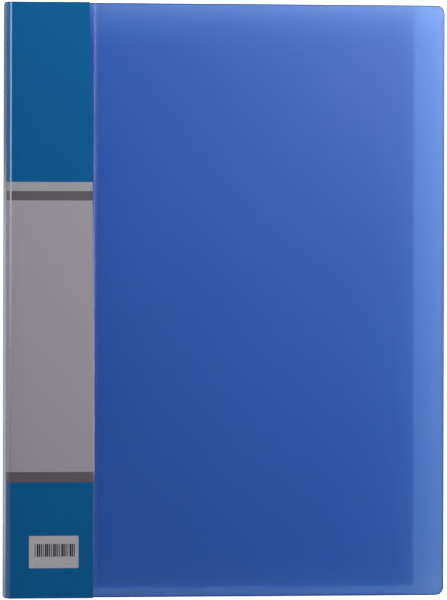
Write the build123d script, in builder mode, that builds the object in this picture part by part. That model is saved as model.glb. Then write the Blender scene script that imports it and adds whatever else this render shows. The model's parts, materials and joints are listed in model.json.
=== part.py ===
"""Clear pocket display book for A4 sheets, closed and lying on its back cover.

One folded plastic sheet makes the front cover, the spine and the back cover.
A printed title card sits in a clear sleeve on the front cover and the spine,
and twenty clear pockets are welded to a strip on the inside of the spine.
+X runs from the spine to the fore-edge, +Y to the head, +Z out of the front cover.
"""

import os

from build123d import *

# Folded cover sheet
cover_height = 310.0
cover_width = 235.0
spine_width = 16.0
cover_thickness = 0.7
corner_radius = 4.5
crease_clearance = 0.1

# Title card and the clear sleeve that holds it
card_thickness = 0.2
card_front_width = 44.2
card_overhang = 0.4
sleeve_thickness = 0.1
sleeve_play = 0.05
sleeve_side_gap = 1.2
sleeve_seam_width = 2.0
fold_clearance = 0.1

# Pockets and the strip that binds them
pocket_count = 20
pocket_width = 217.0
pocket_height = 305.0
pocket_tail_gap = 4.2
film_thickness = 0.06
pocket_slot = 0.1
weld_width = 2.0
block_end_gap = 0.5
strip_thickness = 0.5
strip_margin = 0.15
shortest_rib = 0.8
stagger_clearance = 0.04
root_clearance = 0.05

# The origin is the middle of the underside, so the sleeve's build-up on the spine is shared out
sleeve_buildup = 2 * sleeve_play + card_thickness + sleeve_thickness
spine_face_x = (sleeve_buildup - cover_width) / 2
fore_edge_x = spine_face_x + cover_width

# Both creases run in the middle of the sheet's thickness
crease_x = spine_face_x + cover_thickness / 2
rear_crease_z = cover_thickness / 2
front_crease_z = spine_width - cover_thickness / 2

# The pockets share the depth between the covers evenly, pocket 1 nearest the front cover
pocket_thickness = 2 * film_thickness + pocket_slot
pocket_depth = spine_width - 2 * cover_thickness - 2 * block_end_gap
pocket_pitch = pocket_depth / (pocket_count - 1)
pocket_tail = pocket_tail_gap - cover_height / 2
pocket_head = pocket_tail + pocket_height
pocket_middle_y = (pocket_tail + pocket_head) / 2
strip_x = spine_face_x + cover_thickness
strip_width = pocket_depth + pocket_thickness + 2 * strip_margin


def pocket_z(number):
    """Height of a pocket's middle plane above the underside."""
    return spine_width - cover_thickness - block_end_gap - (number - 1) * pocket_pitch


def rib_length(number):
    """A root's stand-off from the strip, longer towards the middle so that open pockets stack."""
    steps_in = min(number - 1, pocket_count - number)
    return shortest_rib + steps_in * (pocket_thickness + stagger_clearance)


def root_x(number):
    """Place of a pocket's fold line, just clear of the tip of its root."""
    tip = strip_x + strip_thickness + rib_length(number)
    return tip + root_clearance + pocket_thickness / 2


def bar(left, right, tail, head, under, top):
    """A plain strip of sheet between three pairs of limits."""
    with BuildPart() as strip:
        with BuildSketch(Plane.XY.offset(under)):
            with Locations(((left + right) / 2, (tail + head) / 2)):
                Rectangle(right - left, head - tail)
        extrude(amount=top - under)
    return strip.part


def cover_panel(under):
    """A cover panel from its crease to the fore-edge, with two rounded corners."""
    near_edge = crease_x + cover_thickness / 2 + crease_clearance
    with BuildPart() as panel:
        with BuildSketch(Plane.XY.offset(under)) as outline:
            with Locations(((near_edge + fore_edge_x) / 2, 0)):
                Rectangle(fore_edge_x - near_edge, cover_height)
            fillet(outline.vertices().group_by(Axis.X)[-1], radius=corner_radius)
        extrude(amount=cover_thickness)
    return panel.part


def finish(piece, name):
    """Label a finished piece and write it."""
    piece.label = name
    export_step(piece, "parts/" + name + ".step")


os.makedirs("parts", exist_ok=True)

# The three panels of the sheet; the spine's long edges are the rounded folds themselves
finish(cover_panel(0), "back_cover")
finish(cover_panel(spine_width - cover_thickness), "front_cover")

with BuildPart() as spine_panel:
    with BuildSketch(Plane.XZ):
        with Locations((crease_x, spine_width / 2)):
            SlotCenterToCenter(front_crease_z - rear_crease_z, cover_thickness, rotation=90)
    extrude(amount=cover_height / 2, both=True)
finish(spine_panel.part, "spine_panel")

# The title card, one flap on the front cover and one on the spine, loose in the sleeve
card_end = cover_height / 2 + card_overhang
card_edge_x = spine_face_x + card_front_width
card_under = spine_width + sleeve_play
rear_seam_z = cover_thickness
rear_seam_top = rear_seam_z + sleeve_seam_width
card_rear_z = rear_seam_top + sleeve_side_gap
card_inner_x = spine_face_x - sleeve_play

card_front = bar(
    left=crease_x + fold_clearance,
    right=card_edge_x,
    tail=-card_end,
    head=card_end,
    under=card_under,
    top=card_under + card_thickness,
)
finish(card_front, "title_card_front")

card_spine = bar(
    left=card_inner_x - card_thickness,
    right=card_inner_x,
    tail=-card_end,
    head=card_end,
    under=card_rear_z,
    top=front_crease_z - fold_clearance,
)
finish(card_spine, "title_card_spine")

# The clear sleeve over the card, welded to the front cover and to the spine along two seams
sleeve_end = cover_height / 2
sleeve_under = card_under + card_thickness + sleeve_play
sleeve_edge_x = card_edge_x + sleeve_side_gap + sleeve_seam_width
sleeve_inner_x = card_inner_x - card_thickness - sleeve_play

sleeve_front = bar(
    left=crease_x + fold_clearance,
    right=sleeve_edge_x,
    tail=-sleeve_end,
    head=sleeve_end,
    under=sleeve_under,
    top=sleeve_under + sleeve_thickness,
)
finish(sleeve_front, "sleeve_film_front")

sleeve_spine = bar(
    left=sleeve_inner_x - sleeve_thickness,
    right=sleeve_inner_x,
    tail=-sleeve_end,
    head=sleeve_end,
    under=rear_seam_z,
    top=front_crease_z - fold_clearance,
)
finish(sleeve_spine, "sleeve_film_spine")

seam_front = bar(
    left=sleeve_edge_x - sleeve_seam_width,
    right=sleeve_edge_x,
    tail=-sleeve_end,
    head=sleeve_end,
    under=spine_width,
    top=sleeve_under,
)
finish(seam_front, "sleeve_seam_front")

seam_rear = bar(
    left=sleeve_inner_x,
    right=spine_face_x,
    tail=-sleeve_end,
    head=sleeve_end,
    under=rear_seam_z,
    top=rear_seam_top,
)
finish(seam_rear, "sleeve_seam_rear")

# The binding strip, with the welded roots of all the pockets standing on it like a comb
with BuildPart() as binding_strip:
    with BuildSketch(Plane.XZ.offset(-pocket_middle_y)):
        with Locations((strip_x + strip_thickness / 2, spine_width / 2)):
            Rectangle(strip_thickness, strip_width)
        for number in range(1, pocket_count + 1):
            reach = strip_thickness + rib_length(number)
            with Locations((strip_x + reach / 2, pocket_z(number))):
                Rectangle(reach, pocket_thickness)
    extrude(amount=pocket_height / 2, both=True)
finish(binding_strip.part, "binding_strip")

# Each pocket: two films between three welds, with the head left open for the sheet of paper
for number in range(1, pocket_count + 1):
    fold_x = root_x(number)
    middle_z = pocket_z(number)
    film_left = fold_x + weld_width
    film_right = fold_x + pocket_width - weld_width
    film_tail = pocket_tail + weld_width
    under = middle_z - pocket_thickness / 2
    top = middle_z + pocket_thickness / 2

    with BuildPart() as root_weld:
        with BuildSketch(Plane.XZ.offset(-pocket_middle_y)):
            with Locations((fold_x + weld_width / 2, middle_z)):
                Rectangle(weld_width, pocket_thickness)
            with Locations((fold_x, middle_z)):
                Circle(pocket_thickness / 2)
        extrude(amount=pocket_height / 2, both=True)

    fore_edge_weld = bar(film_right, film_right + weld_width, pocket_tail, pocket_head, under, top)
    tail_weld = bar(film_left, film_right, pocket_tail, film_tail, under, top)
    front_film = bar(film_left, film_right, film_tail, pocket_head, top - film_thickness, top)
    back_film = bar(film_left, film_right, film_tail, pocket_head, under, under + film_thickness)

    pocket = Compound(children=[root_weld.part, fore_edge_weld, tail_weld, front_film, back_film])
    finish(pocket, f"pocket_{number:02d}")
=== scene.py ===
import json
import math

import bpy
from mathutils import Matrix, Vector


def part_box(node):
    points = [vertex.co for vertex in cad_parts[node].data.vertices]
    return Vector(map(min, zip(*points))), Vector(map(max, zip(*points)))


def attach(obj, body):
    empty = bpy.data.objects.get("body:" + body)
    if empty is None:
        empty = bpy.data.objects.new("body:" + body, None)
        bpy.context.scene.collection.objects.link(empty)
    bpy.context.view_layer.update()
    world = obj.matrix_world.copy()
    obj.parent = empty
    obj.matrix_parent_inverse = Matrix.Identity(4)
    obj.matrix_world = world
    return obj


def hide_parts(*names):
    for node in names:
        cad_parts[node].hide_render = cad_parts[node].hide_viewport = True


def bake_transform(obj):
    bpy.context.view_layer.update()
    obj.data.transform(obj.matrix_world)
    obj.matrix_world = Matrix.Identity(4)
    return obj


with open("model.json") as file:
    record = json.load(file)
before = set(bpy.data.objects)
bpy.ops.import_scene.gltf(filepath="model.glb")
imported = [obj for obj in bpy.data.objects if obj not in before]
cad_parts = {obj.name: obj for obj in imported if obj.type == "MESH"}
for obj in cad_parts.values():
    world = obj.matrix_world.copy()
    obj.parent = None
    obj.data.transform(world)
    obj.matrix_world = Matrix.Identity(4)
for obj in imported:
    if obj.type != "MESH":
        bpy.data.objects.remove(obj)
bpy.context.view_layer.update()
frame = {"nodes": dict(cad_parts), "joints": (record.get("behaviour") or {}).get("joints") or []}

# COVER SHEET
# One polypropylene sheet, cut with rounded fore-edge corners and folded along two creases into
# front cover, spine and back cover. It is extruded with a frosted skin and dyed clear blue.
EVEN_BLEND = 0.5
FRESNEL_POWER = 5.0
WHITE = (1, 1, 1, 1)
POLYPROPYLENE_IOR = 1.49

# A Mix node has several sockets of one name, so its colour sockets go by number.
FIRST_COLOUR, SECOND_COLOUR, MIXED_COLOUR = 6, 7, 2


def linear(code):
    """An sRGB hex value as a linear colour."""
    channels = [int(code[i:i + 2], 16) / 255 for i in (1, 3, 5)]
    bent = [c / 12.92 if c <= 0.04045 else ((c + 0.055) / 1.055) ** 2.4 for c in channels]
    return (*bent, 1.0)


def add_node(tree, kind, settings={}, links={}):
    """One node, with its options and socket values set and other nodes' outputs linked to it."""
    made = tree.nodes.new(kind)
    for key, value in settings.items():
        if isinstance(key, int) or key in made.inputs:
            made.inputs[key].default_value = value
        else:
            setattr(made, key, value)
    for key, socket in links.items():
        tree.links.new(socket, made.inputs[key])
    return made


def gloss_share(tree, straight_on, glancing, normal):
    """How much of a clear skin's light is mirrored: little straight on, more at a glancing angle."""
    lean = add_node(tree, "ShaderNodeLayerWeight", {"Blend": EVEN_BLEND}, {"Normal": normal})
    steep = add_node(
        tree,
        "ShaderNodeMath",
        {"operation": "POWER", 1: FRESNEL_POWER},
        {0: lean.outputs["Facing"]},
    )
    share = add_node(
        tree,
        "ShaderNodeMath",
        {"operation": "MULTIPLY_ADD", 1: glancing, 2: straight_on},
        {0: steep.outputs[0]},
    )
    return share.outputs[0]


def empty_material(name):
    material = bpy.data.materials.new(name)
    material.use_nodes = True
    material.node_tree.nodes.clear()
    return material, material.node_tree


# Frosted polypropylene: a dyed body that also lets the light behind it glow through, under a satin
# skin. Its sand grain is drawn 0.4 mm wide, coarser than the real one, so that it shows.
SAND_GRAIN = 0.0004
GRAIN_DEPTH = 0.00004
GRAIN_STRENGTH = 0.12
DYE_CLOUD = 0.06
GLOW_SHARE = 0.7
SATIN_ROUGHNESS = 0.42
SATIN_STRAIGHT_ON = 0.02
SATIN_GLANCING = 0.15

frosted_sheet, tree = empty_material("frosted polypropylene sheet")
place = add_node(tree, "ShaderNodeTexCoord").outputs["Object"]
grain = add_node(tree, "ShaderNodeTexNoise", {"Scale": 1 / SAND_GRAIN, "Detail": 2.0}, {"Vector": place})
relief = add_node(
    tree,
    "ShaderNodeBump",
    {"Strength": GRAIN_STRENGTH, "Distance": GRAIN_DEPTH},
    {"Height": grain.outputs["Fac"]},
).outputs["Normal"]
cloud = add_node(tree, "ShaderNodeTexNoise", {"Scale": 1 / DYE_CLOUD, "Detail": 3.0}, {"Vector": place})
dye = add_node(
    tree,
    "ShaderNodeMix",
    {"data_type": "RGBA", FIRST_COLOUR: linear("#115BE0"), SECOND_COLOUR: linear("#1661E8")},
    {0: cloud.outputs["Fac"]},
)
body = add_node(
    tree, "ShaderNodeBsdfDiffuse", {}, {"Color": dye.outputs[MIXED_COLOUR], "Normal": relief}
)
glow = add_node(tree, "ShaderNodeBsdfTranslucent", {"Color": linear("#DAF1F2")}, {"Normal": relief})
sheet_mix = add_node(tree, "ShaderNodeMixShader", {0: GLOW_SHARE}, {1: body.outputs[0], 2: glow.outputs[0]})
skin = add_node(
    tree, "ShaderNodeBsdfGlossy", {"Color": WHITE, "Roughness": SATIN_ROUGHNESS}, {"Normal": relief}
)
satin = gloss_share(tree, SATIN_STRAIGHT_ON, SATIN_GLANCING, relief)
whole = add_node(tree, "ShaderNodeMixShader", {}, {0: satin, 1: sheet_mix.outputs[0], 2: skin.outputs[0]})
add_node(tree, "ShaderNodeOutputMaterial", {}, {"Surface": whole.outputs[0]})

# Cut edge of the same sheet, and a rim half a millimetre wide round the outline of each face: painted
# shade, a deeper blue that draws a fine dark line along the outline.
EDGE_SHADE_MOTTLE = 0.0015
EDGE_ROUGHNESS = 0.3

shaded_cut_edge, tree = empty_material("cut polypropylene edge")
place = add_node(tree, "ShaderNodeTexCoord").outputs["Object"]
shade_mottle = add_node(tree, "ShaderNodeTexNoise", {"Scale": 1 / EDGE_SHADE_MOTTLE, "Detail": 2.0}, {"Vector": place})
depth = add_node(
    tree,
    "ShaderNodeMix",
    {"data_type": "RGBA", FIRST_COLOUR: linear("#122E80"), SECOND_COLOUR: linear("#1A3A92")},
    {0: shade_mottle.outputs["Fac"]},
)
edge = add_node(
    tree,
    "ShaderNodeBsdfPrincipled",
    {"Roughness": EDGE_ROUGHNESS, "IOR": POLYPROPYLENE_IOR},
    {"Base Color": depth.outputs[MIXED_COLOUR]},
)
add_node(tree, "ShaderNodeOutputMaterial", {}, {"Surface": edge.outputs[0]})

CORNER_RADIUS = 0.0045
CORNER_STEPS = 10
SHADED_RIM = 0.00055
BROKEN_EDGE = 0.00012
BROKEN_EDGE_STEPS = 2
PANEL_SMOOTHING = math.radians(40)
FACING = 0.9


def cover_panel(name, node):
    """A flat panel with two rounded corners at the fore-edge, a rim in painted edge shade and broken edges.
    """
    low, high = (Vector(c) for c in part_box(node))
    middle, size = (low + high) / 2, high - low
    bpy.ops.object.select_all(action="DESELECT")
    bpy.ops.mesh.primitive_plane_add(size=1, location=(middle.x, middle.y, low.z))
    panel = bpy.context.object
    panel.name = name
    panel.data.materials.append(frosted_sheet)
    panel.data.materials.append(shaded_cut_edge)
    panel.scale = (size.x, size.y, 1)
    bpy.ops.object.transform_apply(location=True, rotation=True, scale=True)
    for vertex in panel.data.vertices:
        vertex.select = vertex.co.x > middle.x
    bpy.ops.object.mode_set(mode="EDIT")
    bpy.ops.mesh.select_mode(type="VERT")
    bpy.ops.mesh.bevel(offset=CORNER_RADIUS, segments=CORNER_STEPS, affect="VERTICES")
    bpy.ops.mesh.select_all(action="SELECT")
    bpy.ops.mesh.extrude_region_move(TRANSFORM_OT_translate={"value": (0, 0, size.z)})
    bpy.ops.mesh.select_all(action="SELECT")
    bpy.ops.mesh.normals_make_consistent(inside=False)
    bpy.ops.mesh.select_mode(type="FACE")
    bpy.ops.mesh.select_all(action="DESELECT")
    bpy.ops.object.mode_set(mode="OBJECT")
    for face in panel.data.polygons:
        face.select = abs(face.normal.z) > FACING
    bpy.ops.object.mode_set(mode="EDIT")
    bpy.ops.mesh.inset(thickness=SHADED_RIM, depth=0)
    bpy.ops.object.mode_set(mode="OBJECT")
    # The inset middle of each face keeps the frosted sheet; the rim ring and the cut sides take the painted
    # edge shade.
    for face in panel.data.polygons:
        face.material_index = 0 if face.select else 1
    softened = panel.modifiers.new("broken edge", "BEVEL")
    softened.width = BROKEN_EDGE
    softened.segments = BROKEN_EDGE_STEPS
    softened.limit_method = "ANGLE"
    bpy.ops.object.modifier_apply(modifier=softened.name)
    bpy.ops.object.shade_smooth_by_angle(angle=PANEL_SMOOTHING)
    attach(panel, node)
    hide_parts(node)


cover_panel("cover_front", "front_cover")
cover_panel("cover_back", "back_cover")
spine = frame["nodes"]["spine_panel"]
spine.data.materials.clear()
spine.data.materials.append(frosted_sheet)

# TITLE CARD
# A coated card, printed in flat bands of teal and greys, folded once so that a narrow flap lies on
# the spine and a wide one on the front cover. It is loose in its sleeve and slides out at the head.
CARD_FIBRE = 0.0012
PRINT_ROUGHNESS = 0.7
PRINT_SHINE = 0.06


# Coated card: a flat ink, a little uneven from the fibres 1.2 mm long under it, and almost no shine.
def printed(name, ink, fleck):
    material, tree = empty_material(name)
    place = add_node(tree, "ShaderNodeTexCoord").outputs["Object"]
    fibre = add_node(
        tree, "ShaderNodeTexNoise", {"Scale": 1 / CARD_FIBRE, "Detail": 4.0}, {"Vector": place}
    )
    tone = add_node(
        tree,
        "ShaderNodeMix",
        {"data_type": "RGBA", FIRST_COLOUR: linear(ink), SECOND_COLOUR: linear(fleck)},
        {0: fibre.outputs["Fac"]},
    )
    coat = add_node(
        tree,
        "ShaderNodeBsdfPrincipled",
        {"Roughness": PRINT_ROUGHNESS, "Specular IOR Level": PRINT_SHINE},
        {"Base Color": tone.outputs[MIXED_COLOUR]},
    )
    add_node(tree, "ShaderNodeOutputMaterial", {}, {"Surface": coat.outputs[0]})
    return material


TEAL, PALE, STRIPE, GREY, PATCH, BAR = range(6)
inks = [
    printed("coated card, teal print", "#07568A", "#095A8F"),
    printed("coated card, pale grey print", "#98979A", "#9D9C9F"),
    printed("coated card, dark grey print", "#5B565B", "#605B60"),
    printed("coated card, grey print", "#99929B", "#9E97A0"),
    printed("coated card, unprinted patch", "#A9A6AA", "#AEABAF"),
    printed("coated card, black bars", "#1E1C20", "#232125"),
]

crease = next(joint["pos_m"] for joint in frame["joints"] if joint["name"] == "front_crease")
crease_x, crease_z = crease[0], crease[2]
flap_low, flap_high = (Vector(c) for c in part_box("title_card_front"))
card_rear_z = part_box("title_card_spine")[0][2]
card_thickness = flap_high.z - flap_low.z


def folded_strip(name, outline, tail, head):
    """A line of points in the X-Z plane, drawn out from tail to head."""
    bpy.ops.object.select_all(action="DESELECT")
    bpy.ops.mesh.primitive_plane_add(size=1)
    strip = bpy.context.object
    strip.name = name
    bpy.ops.object.mode_set(mode="EDIT")
    bpy.ops.mesh.select_mode(type="VERT")
    bpy.ops.mesh.select_all(action="SELECT")
    bpy.ops.mesh.merge(type="CENTER")
    points = [Vector((x, tail, z)) for x, z in outline]
    bpy.ops.transform.translate(value=points[0])
    for here, there in zip(points, points[1:]):
        bpy.ops.mesh.extrude_region_move(TRANSFORM_OT_translate={"value": there - here})
    bpy.ops.mesh.select_mode(type="EDGE")
    bpy.ops.mesh.select_all(action="SELECT")
    bpy.ops.mesh.extrude_region_move(TRANSFORM_OT_translate={"value": (0, head - tail, 0)})
    bpy.ops.mesh.select_all(action="SELECT")
    bpy.ops.mesh.normals_make_consistent(inside=False)
    bpy.ops.object.mode_set(mode="OBJECT")
    run = [0.0]
    for here, there in zip(outline, outline[1:]):
        run.append(run[-1] + math.dist(here, there))
    flat = strip.data.uv_layers.new(name="flat sheet")
    for loop in strip.data.loops:
        spot = strip.data.vertices[loop.vertex_index].co
        nearest = min(range(len(outline)), key=lambda i: math.dist(outline[i], (spot.x, spot.z)))
        flat.data[loop.index].uv = (run[nearest], spot.y)
    return strip


def fold(radius, steps):
    """Points of the quarter turn round the front crease, from the spine to the cover."""
    turns = [math.pi / 2 * i / steps for i in range(steps + 1)]
    return [(crease_x - radius * math.cos(a), crease_z + radius * math.sin(a)) for a in turns]


CARD_FOLD_STEPS = 8
card_radius = flap_low.z + card_thickness / 2 - crease_z
card_line = [
    (crease_x - card_radius, card_rear_z),
    *fold(card_radius, CARD_FOLD_STEPS),
    (flap_high.x, crease_z + card_radius),
]
card = folded_strip("title_card", card_line, flap_low.y, flap_high.y)

# Each band's ink ends at a distance from the head of the cover, and the last runs out at the tail.
head_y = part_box("front_cover")[1][1]
bands = [
    (0.0935, TEAL),
    (0.0982, PALE),
    (0.1031, STRIPE),
    (0.2445, GREY),
    (0.2499, STRIPE),
    (1.0, TEAL),
]

# The patch and its bars, from the spine to the fore-edge and by distance from the head.
patch_x = (-0.1071, -0.0805)
patch_reach = (0.2778, 0.2946)
bars_reach = (0.2820, 0.2886)
FIRST_BAR = -0.1040
BAR_PITCH = 0.0011
THIN_BAR = 0.0004
BAR_STEP = 0.00015
bar_steps = [0, 3, 2, 1] * 5
bars = []
for i, wider in enumerate(bar_steps):
    bar_left = FIRST_BAR + BAR_PITCH * i
    bars.append((bar_left, bar_left + THIN_BAR + BAR_STEP * wider))

# The card was trimmed slightly out of true: how far its long edge stands from the mean, by distance
# from the head.
trim = [
    (0.0, -0.0021),
    (0.03, -0.0012),
    (0.062, -0.0004),
    (0.125, 0.0002),
    (0.188, 0.0008),
    (0.25, 0.0011),
    (0.311, 0.0005),
]
TRIM_END = 0.31
AT_EDGE = 0.0001
CARD_SMOOTHING = math.radians(35)


def cut_across(strip, point, normal):
    """Edges where a plane crosses a piece, with nothing taken away."""
    bpy.ops.object.select_all(action="DESELECT")
    strip.select_set(True)
    bpy.context.view_layer.objects.active = strip
    bpy.ops.object.mode_set(mode="EDIT")
    bpy.ops.mesh.select_all(action="SELECT")
    bpy.ops.mesh.bisect(plane_co=point, plane_no=normal)
    bpy.ops.object.mode_set(mode="OBJECT")


band_cuts = [limit for limit, ink in bands[:-1]]
trim_cuts = [reach for reach, offset in trim[1:-1]]
for reach in [*band_cuts, *patch_reach, *bars_reach, *trim_cuts]:
    cut_across(card, (0, head_y - reach, 0), (0, 1, 0))
bar_cuts = [x for bar in bars for x in bar]
for edge_x in [*patch_x, *bar_cuts]:
    cut_across(card, (edge_x, 0, 0), (1, 0, 0))
for vertex in card.data.vertices:
    if vertex.co.x > flap_high.x - AT_EDGE:
        reach = min(max(head_y - vertex.co.y, 0.0), TRIM_END)
        (near, start), (far, stop) = next(pair for pair in zip(trim, trim[1:]) if reach <= pair[1][0])
        vertex.co.x += start + (stop - start) * (reach - near) / (far - near)
for ink in inks:
    card.data.materials.append(ink)
for face in card.data.polygons:
    x, reach = face.center.x, head_y - face.center.y
    face.material_index = next(ink for limit, ink in bands if reach < limit)
    if patch_x[0] < x < patch_x[1] and patch_reach[0] < reach < patch_reach[1]:
        face.material_index = PATCH
        if bars_reach[0] < reach < bars_reach[1] and any(a < x < b for a, b in bars):
            face.material_index = BAR
bpy.context.view_layer.objects.active = card
card.select_set(True)
stiff = card.modifiers.new("card", "SOLIDIFY")
stiff.thickness = card_thickness
stiff.offset = 0
bpy.ops.object.modifier_apply(modifier=stiff.name)
bpy.ops.object.shade_smooth_by_angle(angle=CARD_SMOOTHING)
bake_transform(card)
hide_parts("title_card_front", "title_card_spine")

# CLEAR SLEEVE
# A glossy clear film over the card, from the rear edge of the spine round the crease to the front
# cover. It is pressed down and heat-welded along both long edges and left open at head and tail.
film_low, film_high = (Vector(c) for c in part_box("sleeve_film_front"))
seam_low, seam_high = (Vector(c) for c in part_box("sleeve_seam_front"))
rear_low, rear_high = (Vector(c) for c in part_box("sleeve_seam_rear"))
film_thickness = film_high.z - film_low.z
film_radius = film_low.z + film_thickness / 2 - crease_z
weld_z = seam_low.z + film_thickness / 2
weld_x = rear_high.x - film_thickness / 2

# Clear polypropylene film: almost all light goes straight through, and the rest comes off its gloss.
# Near its rear edge on the spine a painted reflection, the glare of the white surroundings, is laid on
# as matt white, most from the middle to near the tail. Each glare limit is a place on the film and the
# share of painted reflection there. The tint is the share of red, green and blue that one face lets
# through, too near to white for a hex value.
CLEAR_TINT = (0.99, 0.992, 0.995, 1)
FILM_RIPPLE = 0.03
FILM_RIPPLE_DEPTH = 0.0004
FILM_RIPPLE_STRENGTH = 0.25
FILM_ROUGHNESS = 0.12
FILM_STRAIGHT_ON = 0.008
FILM_GLANCING = 0.02
glare_from_edge = ((0.0095, 0.0), (0.004, 1.0))
glare_from_head = ((0.085, 0.15), (0.035, 0.9))
glare_from_tail = ((-0.155, 0.35), (-0.11, 1.0))

clear_film, tree = empty_material("clear polypropylene film")
place = add_node(tree, "ShaderNodeUVMap", {"uv_map": "flat sheet"}).outputs[0]
axes = add_node(tree, "ShaderNodeSeparateXYZ", {}, {0: place})
glare_limits = []
for axis, limits in [("X", glare_from_edge), ("Y", glare_from_head), ("Y", glare_from_tail)]:
    (begin, least), (end, most) = limits
    glare_limit = add_node(
        tree,
        "ShaderNodeMapRange",
        {
            "interpolation_type": "SMOOTHSTEP",
            "From Min": begin,
            "From Max": end,
            "To Min": least,
            "To Max": most,
        },
        {"Value": axes.outputs[axis]},
    )
    glare_limits.append(glare_limit.outputs[0])
glare_along = add_node(tree, "ShaderNodeMath", {"operation": "MULTIPLY"}, {0: glare_limits[1], 1: glare_limits[2]})
painted_glare = add_node(tree, "ShaderNodeMath", {"operation": "MULTIPLY"}, {0: glare_limits[0], 1: glare_along.outputs[0]})
ripple = add_node(tree, "ShaderNodeTexNoise", {"Scale": 1 / FILM_RIPPLE, "Detail": 1.0}, {"Vector": place})
wave = add_node(
    tree,
    "ShaderNodeBump",
    {"Strength": FILM_RIPPLE_STRENGTH, "Distance": FILM_RIPPLE_DEPTH},
    {"Height": ripple.outputs["Fac"]},
).outputs["Normal"]
clear = add_node(tree, "ShaderNodeBsdfTransparent", {"Color": CLEAR_TINT})
# Matt white that paints the spine film's reflection of the white surroundings.
painted_glare_white = add_node(tree, "ShaderNodeBsdfDiffuse", {"Color": linear("#DDE2EA")})
glare_mix = add_node(
    tree, "ShaderNodeMixShader", {}, {0: painted_glare.outputs[0], 1: clear.outputs[0], 2: painted_glare_white.outputs[0]}
)
gloss = add_node(
    tree, "ShaderNodeBsdfGlossy", {"Color": WHITE, "Roughness": FILM_ROUGHNESS}, {"Normal": wave}
)
shine = gloss_share(tree, FILM_STRAIGHT_ON, FILM_GLANCING, wave)
film_mix = add_node(tree, "ShaderNodeMixShader", {}, {0: shine, 1: glare_mix.outputs[0], 2: gloss.outputs[0]})
add_node(tree, "ShaderNodeOutputMaterial", {}, {"Surface": film_mix.outputs[0]})

# Painted highlight along the front crease of the film: a pale streak on the fold, most towards the
# head, light blue over the teal print at the head and pale grey below it.
CREASE_STREAK = 0.02
STREAK_SPAN = 0.6
STREAK_LEAST = 0.7
TINT_CHANGE = 0.002
highlight_low, highlight_high = (-0.08, 0.02), (0.06, 0.6)

crease_highlight_film, tree = empty_material("creased polypropylene film")
place = add_node(tree, "ShaderNodeUVMap", {"uv_map": "flat sheet"}).outputs[0]
axes = add_node(tree, "ShaderNodeSeparateXYZ", {}, {0: place})
streak = add_node(
    tree, "ShaderNodeTexNoise", {"Scale": 1 / CREASE_STREAK, "Detail": 3.0}, {"Vector": place}
)
highlight_fade = add_node(
    tree,
    "ShaderNodeMapRange",
    {
        "interpolation_type": "SMOOTHSTEP",
        "From Min": highlight_low[0],
        "From Max": highlight_high[0],
        "To Min": highlight_low[1],
        "To Max": highlight_high[1],
    },
    {"Value": axes.outputs["Y"]},
)
share = add_node(
    tree,
    "ShaderNodeMath",
    {"operation": "MULTIPLY_ADD", 1: STREAK_SPAN, 2: STREAK_LEAST},
    {0: streak.outputs["Fac"]},
)
# How much painted highlight lies on the fold at each place.
white = add_node(
    tree, "ShaderNodeMath", {"operation": "MULTIPLY"}, {0: highlight_fade.outputs[0], 1: share.outputs[0]}
)
teal_end = head_y - bands[0][0]
zone = add_node(
    tree,
    "ShaderNodeMapRange",
    {"From Min": teal_end - TINT_CHANGE, "From Max": teal_end + TINT_CHANGE},
    {"Value": axes.outputs["Y"]},
)
highlight_tint = add_node(
    tree,
    "ShaderNodeMix",
    {"data_type": "RGBA", FIRST_COLOUR: linear("#DCDCE2"), SECOND_COLOUR: linear("#9CD2FF")},
    {0: zone.outputs[0]},
)
clear = add_node(tree, "ShaderNodeBsdfTransparent", {"Color": CLEAR_TINT})
highlight_paint = add_node(tree, "ShaderNodeBsdfDiffuse", {}, {"Color": highlight_tint.outputs[MIXED_COLOUR]})
crease_mix = add_node(
    tree, "ShaderNodeMixShader", {}, {0: white.outputs[0], 1: clear.outputs[0], 2: highlight_paint.outputs[0]}
)
add_node(tree, "ShaderNodeOutputMaterial", {}, {"Surface": crease_mix.outputs[0]})

# Welded film: pressed by a ribbed bar, so it is faintly hazy, with ribs 0.8 mm apart. A wave texture
# repeats every 2 pi / 20 of its scale.
RIB_PITCH = 0.0008
RIB_DEPTH = 0.00006
RIB_STRENGTH = 0.4
SEAM_TINT = (0.97, 0.98, 0.99, 1)
SEAM_HAZE = 0.025
SEAM_ROUGHNESS = 0.3
WAVE_LENGTH = 2 * math.pi / 20

welded_film, tree = empty_material("welded polypropylene film")
place = add_node(tree, "ShaderNodeTexCoord").outputs["Object"]
ribs = add_node(
    tree,
    "ShaderNodeTexWave",
    {"bands_direction": "Y", "Scale": WAVE_LENGTH / RIB_PITCH, "Distortion": 0.0},
    {"Vector": place},
)
press = add_node(
    tree,
    "ShaderNodeBump",
    {"Strength": RIB_STRENGTH, "Distance": RIB_DEPTH},
    {"Height": ribs.outputs["Fac"]},
)
seen = add_node(tree, "ShaderNodeBsdfTransparent", {"Color": SEAM_TINT})
haze = add_node(
    tree,
    "ShaderNodeBsdfPrincipled",
    {"Base Color": linear("#B9C6DC"), "Roughness": SEAM_ROUGHNESS, "IOR": POLYPROPYLENE_IOR},
    {"Normal": press.outputs["Normal"]},
)
weld_mix = add_node(tree, "ShaderNodeMixShader", {0: SEAM_HAZE}, {1: seen.outputs[0], 2: haze.outputs[0]})
add_node(tree, "ShaderNodeOutputMaterial", {}, {"Surface": weld_mix.outputs[0]})

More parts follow.
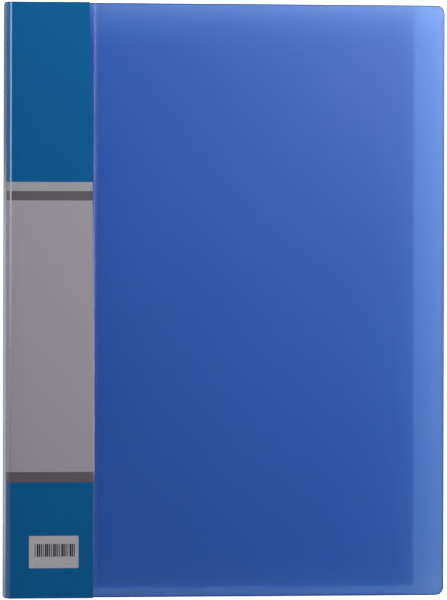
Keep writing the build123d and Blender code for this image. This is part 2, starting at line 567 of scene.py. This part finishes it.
FILM_FOLD_STEPS = 10
REAR_SLOPE = 0.0007
FRONT_SLOPE = 0.0008
SLEEVE_SMOOTHING = math.radians(15)
sleeve_line = [
    (weld_x, rear_low.z),
    (weld_x, rear_high.z),
    (crease_x - film_radius, rear_high.z + REAR_SLOPE),
    *fold(film_radius, FILM_FOLD_STEPS),
    (seam_low.x - FRONT_SLOPE, crease_z + film_radius),
    (seam_low.x, weld_z),
    (seam_high.x, weld_z),
]
sleeve = folded_strip("sleeve_film", sleeve_line, film_low.y, film_high.y)
sleeve.data.materials.append(clear_film)
sleeve.data.materials.append(welded_film)
sleeve.data.materials.append(crease_highlight_film)
# Faces round the front crease take the painted crease highlight.
for face in sleeve.data.polygons:
    welded = face.center.x > seam_low.x or face.center.z < rear_high.z
    creased = face.center.z > crease_z and face.center.x < crease_x
    face.material_index = 1 if welded else 2 if creased else 0
bpy.context.view_layer.objects.active = sleeve
thick = sleeve.modifiers.new("film", "SOLIDIFY")
thick.thickness = film_thickness
thick.offset = 0
bpy.ops.object.modifier_apply(modifier=thick.name)
bpy.ops.object.shade_smooth_by_angle(angle=SLEEVE_SMOOTHING)
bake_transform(sleeve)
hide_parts("sleeve_film_front", "sleeve_film_spine", "sleeve_seam_front", "sleeve_seam_rear")

# BINDING STRIP
# A strip of natural polypropylene with a rib for each pocket, fixed along the inside of the spine.
# The roots of all the pockets are welded to its ribs.
FLOW_MARK = 0.004
STRIP_ROUGHNESS = 0.4

# Natural polypropylene: undyed and milky, with cloudy flow marks 4 mm wide and a satin shine.
natural_strip, tree = empty_material("natural polypropylene strip")
place = add_node(tree, "ShaderNodeTexCoord").outputs["Object"]
flow = add_node(tree, "ShaderNodeTexNoise", {"Scale": 1 / FLOW_MARK, "Detail": 3.0}, {"Vector": place})
milk = add_node(
    tree,
    "ShaderNodeMix",
    {"data_type": "RGBA", FIRST_COLOUR: linear("#C9D2DE"), SECOND_COLOUR: linear("#DCE3EC")},
    {0: flow.outputs["Fac"]},
)
strip_body = add_node(
    tree,
    "ShaderNodeBsdfPrincipled",
    {"Roughness": STRIP_ROUGHNESS, "IOR": POLYPROPYLENE_IOR},
    {"Base Color": milk.outputs[MIXED_COLOUR]},
)
add_node(tree, "ShaderNodeOutputMaterial", {}, {"Surface": strip_body.outputs[0]})
binding = frame["nodes"]["binding_strip"]
binding.data.materials.clear()
binding.data.materials.append(natural_strip)

# POCKETS
# Each is a bag of clear polypropylene film, two sheets welded together at the root, the tail and the
# fore-edge and open at the head. The welding jaws press the edges thin. One bag is copied for all.
POCKET_WELD = 0.0008
POCKET_FILM = 0.00006
PRESSED = 0.6
ON_WELD = 0.9 * POCKET_WELD

# Clear pocket film: lets nearly all light through, barely milky, with a mirror at glancing angles.
POCKET_TINT = (0.992, 0.9925, 0.995, 1)
POCKET_MILK = 0.002
POCKET_RIPPLE = 0.05
POCKET_RIPPLE_DEPTH = 0.001
POCKET_RIPPLE_STRENGTH = 0.3
POCKET_ROUGHNESS = 0.12
POCKET_STRAIGHT_ON = 0.006
POCKET_GLANCING = 0.5

pocket_film, tree = empty_material("clear pocket film")
place = add_node(tree, "ShaderNodeTexCoord").outputs["Object"]
ripple = add_node(
    tree, "ShaderNodeTexNoise", {"Scale": 1 / POCKET_RIPPLE, "Detail": 1.0}, {"Vector": place}
)
wave = add_node(
    tree,
    "ShaderNodeBump",
    {"Strength": POCKET_RIPPLE_STRENGTH, "Distance": POCKET_RIPPLE_DEPTH},
    {"Height": ripple.outputs["Fac"]},
).outputs["Normal"]
clear = add_node(tree, "ShaderNodeBsdfTransparent", {"Color": POCKET_TINT})
milk = add_node(tree, "ShaderNodeBsdfDiffuse", {"Color": linear("#DDE4EE")}, {"Normal": wave})
body = add_node(tree, "ShaderNodeMixShader", {0: POCKET_MILK}, {1: clear.outputs[0], 2: milk.outputs[0]})
sheen = add_node(
    tree, "ShaderNodeBsdfGlossy", {"Color": WHITE, "Roughness": POCKET_ROUGHNESS}, {"Normal": wave}
)
mirror = gloss_share(tree, POCKET_STRAIGHT_ON, POCKET_GLANCING, wave)
bag_mix = add_node(tree, "ShaderNodeMixShader", {}, {0: mirror, 1: body.outputs[0], 2: sheen.outputs[0]})
add_node(tree, "ShaderNodeOutputMaterial", {}, {"Surface": bag_mix.outputs[0]})

# Inside of the same film: the two sheets lie on each other there and show no gloss of their own.
film_inside, tree = empty_material("clear pocket film, inside")
clear = add_node(tree, "ShaderNodeBsdfTransparent", {"Color": POCKET_TINT})
milk = add_node(tree, "ShaderNodeBsdfDiffuse", {"Color": linear("#DDE4EE")})
body = add_node(tree, "ShaderNodeMixShader", {0: POCKET_MILK}, {1: clear.outputs[0], 2: milk.outputs[0]})
add_node(tree, "ShaderNodeOutputMaterial", {}, {"Surface": body.outputs[0]})

# Welded pocket edge: the jaws leave it white and knurled, with stitches 1 mm apart. The cut rim of
# the open mouth is as white.
STITCH = 0.001
STITCH_DEPTH = 0.00005
STITCH_STRENGTH = 0.5
KNURL_TINT = (0.97, 0.975, 0.98, 1)
KNURL_ROUGHNESS = 0.3
stitch_middle, stitch_edge = (0.1, 0.8), (0.5, 0.92)

pocket_weld, tree = empty_material("welded pocket edge")
place = add_node(tree, "ShaderNodeTexCoord").outputs["Object"]
stitch = add_node(
    tree,
    "ShaderNodeTexVoronoi",
    {"distance": "CHEBYCHEV", "Scale": 1 / STITCH, "Randomness": 0.0},
    {"Vector": place},
).outputs["Distance"]
knurl = add_node(
    tree, "ShaderNodeBump", {"Strength": STITCH_STRENGTH, "Distance": STITCH_DEPTH}, {"Height": stitch}
)
cloudy = add_node(
    tree,
    "ShaderNodeMapRange",
    {
        "From Min": stitch_middle[0],
        "From Max": stitch_edge[0],
        "To Min": stitch_middle[1],
        "To Max": stitch_edge[1],
    },
    {"Value": stitch},
)
clear = add_node(tree, "ShaderNodeBsdfTransparent", {"Color": KNURL_TINT})
haze = add_node(
    tree,
    "ShaderNodeBsdfPrincipled",
    {"Base Color": linear("#E4EAF3"), "Roughness": KNURL_ROUGHNESS, "IOR": POLYPROPYLENE_IOR},
    {"Normal": knurl.outputs["Normal"]},
)
weld_mix = add_node(
    tree, "ShaderNodeMixShader", {}, {0: cloudy.outputs[0], 1: clear.outputs[0], 2: haze.outputs[0]}
)
add_node(tree, "ShaderNodeOutputMaterial", {}, {"Surface": weld_mix.outputs[0]})

# The first bag: a flat box whose head face is narrowed and pushed in almost to the tail, cut where
# the welds end and pressed thin outside those cuts.
first_low, first_high = (Vector(c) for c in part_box("pocket_01"))
middle, size = (first_low + first_high) / 2, first_high - first_low
bpy.ops.object.select_all(action="DESELECT")
bpy.ops.mesh.primitive_cube_add(size=1, location=middle)
bag = bpy.context.object
bag.name = "pocket_bag_01"
bag.scale = size
bpy.ops.object.transform_apply(location=True, rotation=True, scale=True)
bpy.ops.object.mode_set(mode="EDIT")
bpy.ops.mesh.select_mode(type="FACE")
bpy.ops.mesh.select_all(action="DESELECT")
bpy.ops.object.mode_set(mode="OBJECT")
for face in bag.data.polygons:
    face.select = face.normal.y > FACING
bpy.ops.object.mode_set(mode="EDIT")
mouth = (1 - 2 * POCKET_WELD / size.x, 1, 1 - 2 * POCKET_FILM / size.z)
bpy.ops.mesh.extrude_region_move(TRANSFORM_OT_translate={"value": (0, 0, 0)})
bpy.ops.transform.resize(value=mouth, center_override=(middle.x, first_high.y, middle.z))
bpy.ops.mesh.extrude_region_move(TRANSFORM_OT_translate={"value": (0, POCKET_WELD - size.y, 0)})
bpy.ops.object.mode_set(mode="OBJECT")
cut_across(bag, (first_low.x + POCKET_WELD, 0, 0), (1, 0, 0))
cut_across(bag, (first_high.x - POCKET_WELD, 0, 0), (1, 0, 0))
cut_across(bag, (0, first_low.y + POCKET_WELD, 0), (0, 1, 0))


def from_rim(spot):
    """How far a spot on the bag is from the nearest welded edge."""
    return min(spot.x - first_low.x, first_high.x - spot.x, spot.y - first_low.y)


for vertex in bag.data.vertices:
    if from_rim(vertex.co) < POCKET_WELD / 2:
        vertex.co.z = middle.z + PRESSED * (vertex.co.z - middle.z)
bag.data.materials.append(pocket_film)
bag.data.materials.append(pocket_weld)
bag.data.materials.append(film_inside)
for face in bag.data.polygons:
    off_weld = from_rim(face.center)
    lining = abs(face.center.z - middle.z) < size.z / 2 - POCKET_FILM / 2 and off_weld > ON_WELD
    at_mouth = face.center.y > first_high.y - POCKET_FILM
    face.material_index = 1 if at_mouth or off_weld < ON_WELD else 2 if lining else 0

pocket_names = [name for name in frame["nodes"] if name.startswith("pocket_")]
bags = [bag]
for name in pocket_names[1:]:
    bpy.ops.object.select_all(action="DESELECT")
    bag.select_set(True)
    bpy.context.view_layer.objects.active = bag
    bpy.ops.object.duplicate(linked=False)
    twin = bpy.context.object
    twin.name = "pocket_bag_" + name[-2:]
    twin.location = Vector(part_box(name)[0]) - first_low
    bpy.ops.object.transform_apply(location=True, rotation=False, scale=False)
    bags.append(twin)
for name, piece in zip(pocket_names, bags):
    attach(piece, name)
    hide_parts(name)

# FLOOR, LIGHT AND CAMERA
# A white table in a soft light tent, with bright sides and a dim top. Four softboxes stand low beyond
# the head, above the head's fore-edge corner, at the fore-edge and by the tail end of the spine.
TABLE_SIZE = 8
TABLE_DROP = 0.0006
TABLE_PAINT = (0.7, 0.7, 0.7, 1)
TABLE_LIFT = (0.9, 0.9, 0.9, 1)
ONE_BOUNCE = 1.5

bpy.ops.object.select_all(action="DESELECT")
bpy.ops.mesh.primitive_plane_add(size=TABLE_SIZE, location=(0, 0, -TABLE_DROP))
floor = bpy.context.object
floor.name = "table"

# Matt white paint that keeps the object's shadow and is lifted to white where it is looked at.
white_table, tree = empty_material("white table")
path = add_node(tree, "ShaderNodeLightPath").outputs
matt = add_node(tree, "ShaderNodeBsdfDiffuse", {"Color": TABLE_PAINT})
mirrored = add_node(
    tree,
    "ShaderNodeMath",
    {"operation": "MAXIMUM"},
    {0: path["Is Glossy Ray"], 1: path["Is Transmission Ray"]},
)
direct = add_node(
    tree, "ShaderNodeMath", {"operation": "LESS_THAN", 1: ONE_BOUNCE}, {0: path["Ray Depth"]}
)
once = add_node(
    tree, "ShaderNodeMath", {"operation": "MULTIPLY"}, {0: mirrored.outputs[0], 1: direct.outputs[0]}
)
viewed = add_node(
    tree, "ShaderNodeMath", {"operation": "MAXIMUM"}, {0: path["Is Camera Ray"], 1: once.outputs[0]}
)
lift = add_node(tree, "ShaderNodeEmission", {"Color": TABLE_LIFT}, {"Strength": viewed.outputs[0]})
table_mix = add_node(tree, "ShaderNodeAddShader", {}, {0: matt.outputs[0], 1: lift.outputs[0]})
add_node(tree, "ShaderNodeOutputMaterial", {}, {"Surface": table_mix.outputs[0]})
floor.data.materials.append(white_table)

# The tent: each limit is how high or how far towards the head a direction points, and the light there.
FILMS_IN_LINE = 128
TOWARDS_HEAD = (0, 1, 0)
wall_end, roof_start = (0.45, 1.0), (0.85, 0.015)
tail_side, head_side = (-0.7, 0.175), (0.7, 0.475)

scene = bpy.context.scene
scene.view_settings.view_transform = "Standard"
scene.cycles.transparent_max_bounces = FILMS_IN_LINE
world = bpy.data.worlds.new("light tent")
scene.world = world
world.use_nodes = True
tree = world.node_tree
tree.nodes.clear()
path = add_node(tree, "ShaderNodeLightPath").outputs
place = add_node(tree, "ShaderNodeTexCoord").outputs["Generated"]
axes = add_node(tree, "ShaderNodeSeparateXYZ", {}, {0: place})
climb = add_node(
    tree,
    "ShaderNodeMapRange",
    {
        "From Min": wall_end[0],
        "From Max": roof_start[0],
        "To Min": wall_end[1],
        "To Max": roof_start[1],
    },
    {"Value": axes.outputs["Z"]},
)
toward = add_node(tree, "ShaderNodeVectorMath", {"operation": "DOT_PRODUCT", 1: TOWARDS_HEAD}, {0: place})
side = add_node(
    tree,
    "ShaderNodeMapRange",
    {
        "From Min": tail_side[0],
        "From Max": head_side[0],
        "To Min": tail_side[1],
        "To Max": head_side[1],
    },
    {"Value": toward.outputs["Value"]},
)
wall = add_node(
    tree, "ShaderNodeMath", {"operation": "MULTIPLY"}, {0: climb.outputs[0], 1: side.outputs[0]}
)
seen = add_node(
    tree, "ShaderNodeMath", {"operation": "MAXIMUM"}, {0: path["Is Camera Ray"], 1: wall.outputs[0]}
)
tent = add_node(tree, "ShaderNodeBackground", {"Color": WHITE}, {"Strength": seen.outputs[0]})
add_node(tree, "ShaderNodeOutputWorld", {}, {"Surface": tent.outputs[0]})


def softbox(name, place, aim, width, height, power):
    lamp = bpy.data.lights.new(name, "AREA")
    lamp.shape = "RECTANGLE"
    lamp.size, lamp.size_y, lamp.energy = width, height, power
    stand = bpy.data.objects.new(name, lamp)
    scene.collection.objects.link(stand)
    stand.location = place
    stand.rotation_euler = (Vector(aim) - Vector(place)).to_track_quat("-Z", "Y").to_euler()


softbox(
    "head_softbox", place=(0.0, 0.5, 0.12), aim=(0, 0.12, 0.01), width=0.7, height=0.12, power=3.4
)
softbox(
    "upper_softbox", place=(0.24, 0.17, 0.44), aim=(0.11, 0.13, 0), width=0.12, height=0.12, power=0.82
)
softbox(
    "fore_edge_softbox", place=(0.8, 0.05, 0.3), aim=(0.1, 0.0, 0), width=0.4, height=0.8, power=8.4
)
softbox(
    "spine_softbox", place=(-0.9, -0.6, 0.18), aim=(-0.117, -0.05, 0.008), width=0.4, height=0.9, power=5.2
)

# The camera looks down on the front cover from about 15 degrees to the left.
LENS_MM = 653.84
SENSOR_MM = 36
TILT, LEAN, ROLL = -0.4736, -15.1098, 0.1509
LOOK_AT = (-0.00034, 0.00003, 0.008)
DISTANCE = 5.7069

lens = bpy.data.cameras.new("camera")
lens.lens = LENS_MM
lens.sensor_width = SENSOR_MM
camera = bpy.data.objects.new("camera", lens)
scene.collection.objects.link(camera)
camera.rotation_euler = (math.radians(TILT), math.radians(LEAN), math.radians(ROLL))
turn = camera.rotation_euler.to_matrix()
camera.location = Vector(LOOK_AT) + turn.col[2] * DISTANCE
scene.camera = camera
